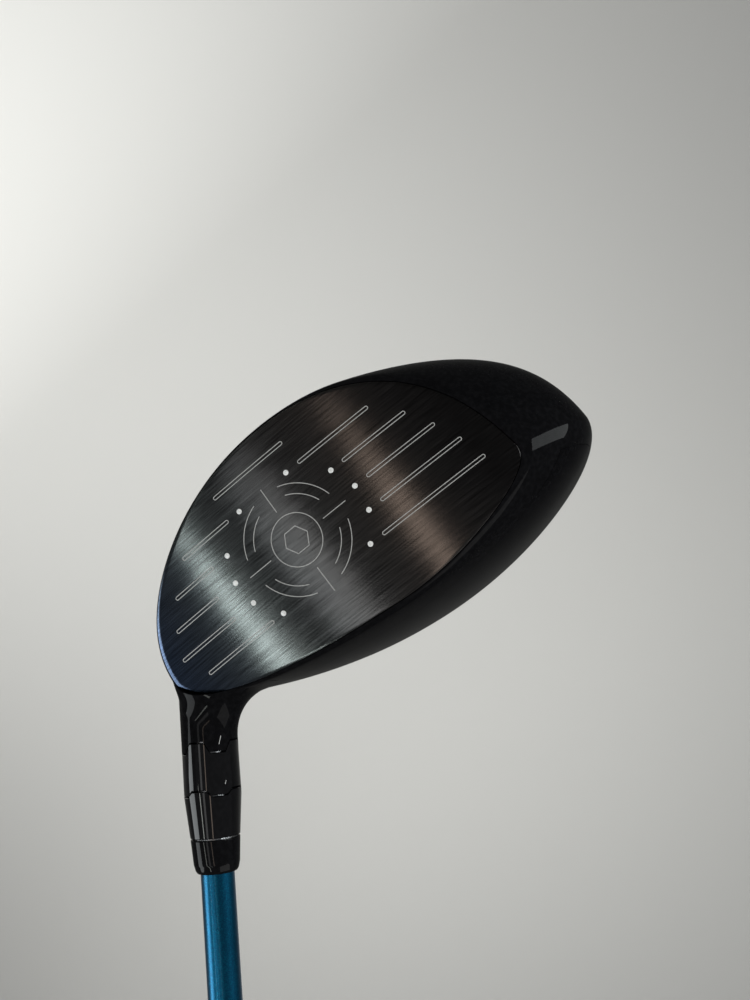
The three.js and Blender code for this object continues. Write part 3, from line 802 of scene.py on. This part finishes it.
def inlay(strokes):
    """Thin closed strips, each standing a hair over the face, as one mesh."""
    vertices, faces = [], []
    for points, width, closed in strokes:
        left, right = ribbon(points, width, closed)
        count = len(left)
        base = len(vertices)
        for edge, depth in ((left, -INLAY_PROUD), (right, -INLAY_PROUD), (right, 0.08), (left, 0.08)):
            vertices.extend(to_row(face_point(edge[:, 0], edge[:, 1], depth + 0.02)))
        last = count if closed else count - 1
        for i in range(last):
            j = (i + 1) % count
            for k in range(4):
                a, b = base + k * count, base + ((k + 1) % 4) * count
                faces.append((a + i, b + i, b + j, a + j))
        if not closed:
            faces.append([base + k * count for k in range(4)])
            faces.append([base + k * count + count - 1 for k in (3, 2, 1, 0)])
    return np.array(vertices), faces


def stadium(start, end, height):
    """The outline of one score line: a long slot with round ends."""
    radius = (SCORE_WIDTH - SCORE_STROKE) / 2
    turns = np.linspace(-math.pi / 2, math.pi / 2, 9)
    right = [(end - radius + radius * math.cos(a), height + radius * math.sin(a)) for a in turns]
    left = [(start + radius - radius * math.cos(a), height - radius * math.sin(a)) for a in turns]
    straight = np.linspace(0, 1, 14)[1:-1]
    top = [(end - radius + (start - end + 2 * radius) * k, height + radius) for k in straight]
    bottom = [(start + radius + (end - start - 2 * radius) * k, height - radius) for k in straight]
    return right + top + left + bottom


def arc(radius, start, end, count=40, centre=(0, 0)):
    angles = np.radians(np.linspace(start, end, count))
    return np.stack([centre[0] + radius * np.cos(angles), centre[1] + radius * np.sin(angles)], 1)


# Reaches of the score lines from the face's middle: (inner end, outer end) towards the toe and the heel.
TOE_LINES = [(11.6, 33.2), (20.6, 39.5), (23.1, 43.3), (22.3, 46.2), (17.7, 48.0)]
HEEL_LINES = [(11.5, 27.4), (22.0, 35.3), (25.5, 40.5), (25.0, 43.8), (17.2, 39.8)]
DOTS_OUT = [7.7, 17.0, 19.4, 18.6, 13.9]


def make_marks():
    strokes = [(stadium(-11.3, 11.3, SCORE_FIRST), SCORE_STROKE, True)]
    dots = []
    for row, (toe, heel, out) in enumerate(zip(TOE_LINES, HEEL_LINES, DOTS_OUT), 1):
        height = SCORE_FIRST + SCORE_PITCH * row
        strokes.append((stadium(*toe, height), SCORE_STROKE, True))
        strokes.append((stadium(-heel[1], -heel[0], height), SCORE_STROKE, True))
        dots += [(out, height), (-out, height)]
    make_piece("score_lines", *inlay(strokes), MATERIALS["etch"], "head", slot="face_metal")
    make_dots(dots)
    make_piece("aiming_mark", *inlay(aiming_strokes()), MATERIALS["etch"], "head", slot="face_metal")


def make_dots(places, sides=28):
    vertices, faces = [], []
    for t, u in places:
        base = len(vertices)
        for radius, depth in ((DOT_RADIUS * 0.9, -0.03), (DOT_RADIUS, 0.0), (DOT_RADIUS, 0.1)):
            ring = arc(radius, 0, 360, sides + 1, (t, u))[:-1]
            vertices.extend(to_row(face_point(ring[:, 0], ring[:, 1], depth)))
        vertices.extend([to_row(face_point(t, u, -0.035)), to_row(face_point(t, u, 0.1))])
        for i in range(sides):
            j = (i + 1) % sides
            for k in (0, 1):
                a, b = base + k * sides, base + (k + 1) * sides
                faces.append((a + i, a + j, b + j, b + i))
            faces.append((base + 3 * sides, base + j, base + i))
            faces.append((base + 3 * sides + 1, base + 2 * sides + i, base + 2 * sides + j))
    make_piece("score_dots", np.array(vertices), faces, MATERIALS["dots"], "head", slot="face_metal")


def aiming_strokes():
    """A plain aiming target: broken rings, a ring of short ticks and a small hexagon."""
    strokes = []
    for radius, gap in ((MARK_RADIUS - 1.6, 16), (MARK_RADIUS - 4.2, 22), (6.6, 0)):
        for quarter in range(4):
            start = 90 * quarter + gap
            if gap:
                strokes.append((arc(radius, start, start + 90 - 2 * gap), SCORE_STROKE, False))
        if not gap:
            strokes.append((arc(radius, 0, 360, 73)[:-1], SCORE_STROKE, True))
    for tick in range(4):
        angle = math.radians(90 * tick)
        direction = np.array([math.cos(angle), math.sin(angle)])
        strokes.append(([direction * r for r in np.linspace(8.4, MARK_RADIUS, 6)], SCORE_STROKE, False))
    hexagon = []
    for side in range(6):
        ends = np.array([side, side + 1]) * (math.pi / 3)
        a, b = (np.array([math.cos(x), math.sin(x)]) * 3.4 for x in ends)
        hexagon += [a + (b - a) * k for k in np.linspace(0, 1, 6)[:-1]]
    strokes.append((hexagon, SCORE_STROKE, True))
    return strokes


# ---------------------------------------------------------------- hosel adapter
def make_adapter():
    loft_cog = toothed_ring(
        COG_BORE, HOSEL_RADIUS - 0.02, COG_RADIUS,
        lambda a: HOSEL_TOP + TOOTH_GAP + tooth_wave(a),
        lambda a: COG_SPLIT + tooth_wave(a) / 2,
    )
    lie_cog = toothed_ring(
        COG_BORE, COG_RADIUS, COG_TOP_RADIUS,
        lambda a: COG_SPLIT + TOOTH_GAP + tooth_wave(a) / 2,
        lambda a: np.full_like(a, COG_TOP - 0.25),
    )
    for name, shape, node in (("lower_cog", loft_cog, "loft_cog"), ("upper_cog", lie_cog, "lie_cog")):
        vertices, faces = shape
        make_piece(name, along(vertices), faces, MATERIALS["adapter"], node, node, "adapter_black")
    bore = SHAFT_TIP_RADIUS + 0.08
    start, lip = COG_TOP + 0.1, COG_TOP + 2.5
    profile = [
        (5.55, start), (6.24, start), (5.78, 90.4), (5.4, 91.9), (4.95, 92.5), (4.6, FERRULE_TOP),
        (bore, FERRULE_TOP), (bore, lip), (5.55, lip),
    ]
    vertices, faces = turned(profile, 144, 0.25)
    look = MATERIALS["ferrule"]
    make_piece("ferrule_collar", along(vertices), faces, look, "club", "ferrule", "ferrule_black")


def slash(station, degrees, length, radius=HOSEL_RADIUS):
    """A short leaning stroke of white fill on the round of the hosel."""
    low, high, half_width = radius - 0.2, radius + 0.02, 0.012
    rings = []
    for k in np.linspace(-0.5, 0.5, 7):
        middle = math.radians(degrees) + 0.3 * k * length / radius
        rings.append(np.array([
            (r * math.cos(middle + side), r * math.sin(middle + side), station + k * length)
            for side, r in ((-half_width, low), (-half_width, high), (half_width, high), (half_width, low))
        ]))
    vertices, faces = closed_rings(rings, rings[0].mean(0), rings[-1].mean(0))
    return along(vertices), faces


def make_setting_marks():
    make_piece("hosel_mark", *slash(60.2, -140, 2.0), MATERIALS["etch"], "head", slot="gloss_black")
    make_piece("cog_mark", *slash(70.6, -147, 0.9), MATERIALS["etch"], "loft_cog", slot="adapter_black")


def lobed_bore(radius, bottom, top, sides=144):
    angles = np.linspace(0, 2 * math.pi, sides, endpoint=False)
    r = radius * (0.86 + 0.14 * np.cos(6 * angles))
    ring = np.stack([r * np.cos(angles), r * np.sin(angles), np.zeros(sides)], 1)
    low, high = np.array([0, 0, bottom]), np.array([0, 0, top])
    return closed_rings([ring + low, ring + high], low, high)


def make_screws():
    low = SCREW_SEAT - 4.8
    top = SCREW_SEAT - 0.85
    end = SLEEVE_BOTTOM + 8.4
    # the shank carries a real thread form, as closely spaced ridges
    profile = [(0.02, low), (4.3, low), (4.3, top), (2.2, top)]
    for turn in np.arange(top + 1.0, end - 1.0, 0.8):
        profile += [(2.2, turn), (2.42, turn + 0.3), (2.42, turn + 0.42), (2.2, turn + 0.7)]
    profile += [(2.2, end - 0.8), (1.6, end), (0.02, end)]
    head = make_solid("hosel_bolt", *map_along(turned(profile, 96, 0.12)))
    combine(head, tool(lobed_bore(2.4, 4, SCREW_SEAT - 2), along), "DIFFERENCE")
    finish_piece(head, MATERIALS["screw"], "hosel_screw", "hosel_screw")
    profile = [
        (0.02, -8.5), (1.9, -8.5), (1.98, -8.1), (1.98, -2.05),
        (3.85, -2.05), (3.85, -0.7), (3.5, -0.45), (0.02, -0.45),
    ]
    vertices, faces = turned(profile, 96, 0.12)
    bolt = make_solid("weight_bolt", at_weight(vertices), faces)
    combine(bolt, tool(lobed_bore(2.1, -1.7, 4), at_weight), "DIFFERENCE")
    finish_piece(bolt, MATERIALS["screw"], "weight_screw", "weight_screw")


def map_along(shape):
    vertices, faces = shape
    return along(vertices), faces


def make_weight():
    outer = make_solid("rim", *head_form(SKIN, 200, 3, 3, 60))
    ring = [(2.2, -7), (11, -7), (11, 6), (9.25, 6), (9.25, -5.3), (2.2, -5.3)]
    vertices, faces = turned(ring, 128, 0.0)
    rim = make_solid("weight_rim", at_weight(vertices), faces)
    combine(rim, outer, "INTERSECT", keep_tool=True)
    finish_piece(rim, MATERIALS["port"], "head", "weight_port", 30)
    disc_profile = [(2.45, -5), (9, -5), (9, 6), (4.45, 6), (4.45, -2.4), (2.45, -2.4)]
    vertices, faces = turned(disc_profile, 128, 0.0)
    disc = make_solid("weight_disc", at_weight(vertices), faces)
    inner = make_solid("inner", *head_form(SKIN + 0.35, 200, 3, 3, 60))
    combine(disc, inner, "INTERSECT")
    finish_piece(disc, MATERIALS["weight"], "rear_weight", "rear_weight", 30)
    bpy.data.objects.remove(outer)


# ---------------------------------------------------------------- shaft and grip
SHAFT_BUTT = CLUB_LENGTH - GRIP_CAP_THICKNESS - 0.2


def shaft_radius(station):
    share = np.clip((station - SHAFT_PARALLEL_TIP) / (SHAFT_BUTT - SHAFT_PARALLEL_TIP), 0, 1)
    return SHAFT_TIP_RADIUS + (SHAFT_BUTT_RADIUS - SHAFT_TIP_RADIUS) * share


def make_shaft():
    stations = np.concatenate([[SHAFT_TIP, 80], np.linspace(SHAFT_PARALLEL_TIP, SHAFT_BUTT, 30)])
    outside = [(float(shaft_radius(s)) - 0.01, s) for s in stations]
    inside = [(float(shaft_radius(s)) - 1.2, s) for s in stations[::-1]]
    vertices, faces = turned(outside + inside, 128, 0.0)
    make_piece("shaft_tube", along(vertices), faces, MATERIALS["shaft"], "club", "shaft", "shaft_blue")


def make_grip():
    mouth, end = CLUB_LENGTH - GRIP_LENGTH, CLUB_LENGTH - GRIP_CAP_THICKNESS - 0.3
    sides, rows = 160, 420
    angles = np.linspace(0, 2 * math.pi, sides, endpoint=False)
    knots = np.array([0, 2, 90, 190, 240, end - mouth])
    radii = np.array([9.25, 9.6, 10.1, 11.3, 12.5, GRIP_CAP_RADIUS - 0.2])
    rings = []
    for station in np.linspace(0, end - mouth, rows):
        radius = np.interp(station, knots, radii)
        patterned = np.clip(min(station - 12, end - mouth - 10 - station) / 3, 0, 1)
        crossing = [(station / GROOVE_PITCH + way * 6 * angles / (2 * math.pi)) % 1 for way in (1, -1)]
        hatch = [np.abs(turn - 0.5) * 2 for turn in crossing]
        groove = np.maximum(*(np.clip(1 - h / GROOVE_WIDTH, 0, 1) for h in hatch))
        r = radius - GROOVE_DEPTH * patterned * groove
        rings.append(np.stack([r * np.cos(angles), r * np.sin(angles), np.full(sides, mouth + station)], 1))
    for station in np.linspace(end, mouth, 30):
        r = float(shaft_radius(station)) + 0.4
        rings.append(np.stack([r * np.cos(angles), r * np.sin(angles), np.full(sides, station)], 1))
    vertices, faces = closed_rings(rings, loop=True)
    make_piece("grip_sleeve", along(vertices), faces, MATERIALS["grip"], "club", "grip", "grip_rubber", 50)
    low, top, rim = CLUB_LENGTH - GRIP_CAP_THICKNESS, CLUB_LENGTH, GRIP_CAP_RADIUS
    cap = [
        (1.5, low), (rim - 0.1, low), (rim + 0.1, top - 3), (rim - 0.5, top - 1), (rim - 1.9, top),
        (9.0, top), (8.7, top - 0.3), (8.2, top - 0.3), (7.9, top), (1.5, top),
    ]
    vertices, faces = turned(cap, 144, 0.3)
    make_piece("grip_end", along(vertices), faces, MATERIALS["cap"], "club", "grip_cap", "cap_rubber")


def finish_frame_nodes():
    looks = {
        "hosel_tube": "alloy", "screw_washer": "weight", "screw_retaining_ring": "screw",
        "shaft_sleeve": "alloy", "sleeve_insert": "screw", "tip_plug": "cork", "grip_tape": "tape",
    }
    for node, look in looks.items():
        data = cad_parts[node].data
        data.materials.clear()
        data.materials.append(MATERIALS[look])


# ---------------------------------------------------------------- stage and light
def make_stage():
    floor, wall, turn = -1500.0, 3200.0, 1200.0
    outline = [(-5000, floor)]
    for a in np.linspace(0, math.pi / 2, 17):
        outline.append((wall - turn + turn * math.sin(a), floor + turn - turn * math.cos(a)))
    outline += [(wall, 5000)]
    vertices = [(x, y, z) for x in (-6000, 6000) for y, z in outline]
    count = len(outline)
    faces = [(i, i + count, i + count + 1, i + 1) for i in range(count - 1)]
    material = principled("backdrop", (0.56, 0.556, 0.54), 0.0, 0.95)
    mesh = bpy.data.meshes.new("backdrop")
    mesh.from_pydata([tuple(c * MM for c in v) for v in vertices], [], faces)
    mesh.materials.append(material)
    mesh.shade_smooth()
    backdrop = bpy.data.objects.new("backdrop", mesh)
    bpy.context.scene.collection.objects.link(backdrop)


def add_light(name, place, target, size, power, color=(1, 1, 1)):
    data = bpy.data.lights.new(name, "AREA")
    data.shape = "RECTANGLE"
    data.size, data.size_y = size
    data.energy = power
    data.color = color
    light = bpy.data.objects.new(name, data)
    bpy.context.scene.collection.objects.link(light)
    light.location = place
    aim = Vector(target) - Vector(place)
    light.rotation_euler = aim.to_track_quat("-Z", "Y").to_euler()


def make_light():
    world = bpy.data.worlds.new("studio")
    bpy.context.scene.world = world
    world.use_nodes = True
    background = world.node_tree.nodes["Background"]
    background.inputs["Color"].default_value = (0.8, 0.81, 0.82, 1)
    background.inputs["Strength"].default_value = 0.3
    face, away = Vector(FACE_CENTRE * MM), 1.7
    # three strips, each for one bright band across the brushed face
    add_light("heel_strip", face + Vector((0.49, -0.83, 0.2)) * away, face, (0.07, 1.3), 4.0, (0.96, 1, 0.94))
    add_light("middle_strip", face + Vector((0.28, -0.93, 0.2)) * away, face, (0.2, 1.3), 1.8)
    add_light("toe_strip", face + Vector((-0.01, -0.97, 0.22)) * away, face, (0.09, 1.1), 1.6, (1, 0.8, 0.66))
    toe = Vector((-0.066, -0.005, 0.045))
    add_light("window", toe + Vector((-0.95, -0.02, 0.28)) * 1.2, toe, (0.9, 0.6), 12, (0.95, 1.0, 1.0))
    hosel = Vector((0.053, -0.016, 0.052))
    panel = hosel + Vector((0.87, -0.45, -0.15)) * 1.5
    add_light("side_panel", panel, hosel, (0.6, 0.9), 12, (0.93, 0.98, 1.0))
    add_light("ceiling", (-0.5, -0.3, 2.0), (0, 0.2, 0), (1.6, 1.2), 11, (1.0, 0.99, 0.97))
    add_light("wall_wash", (1.1, 0.9, -0.1), (1.15, 2.3, -1.5), (2.2, 1.4), 44, (0.995, 1.0, 0.98))


make_head()
make_face()
make_marks()
make_adapter()
make_setting_marks()
make_screws()
make_weight()
make_shaft()
make_grip()
finish_frame_nodes()
make_stage()
make_light()

bpy.context.scene.view_settings.view_transform = "Standard"
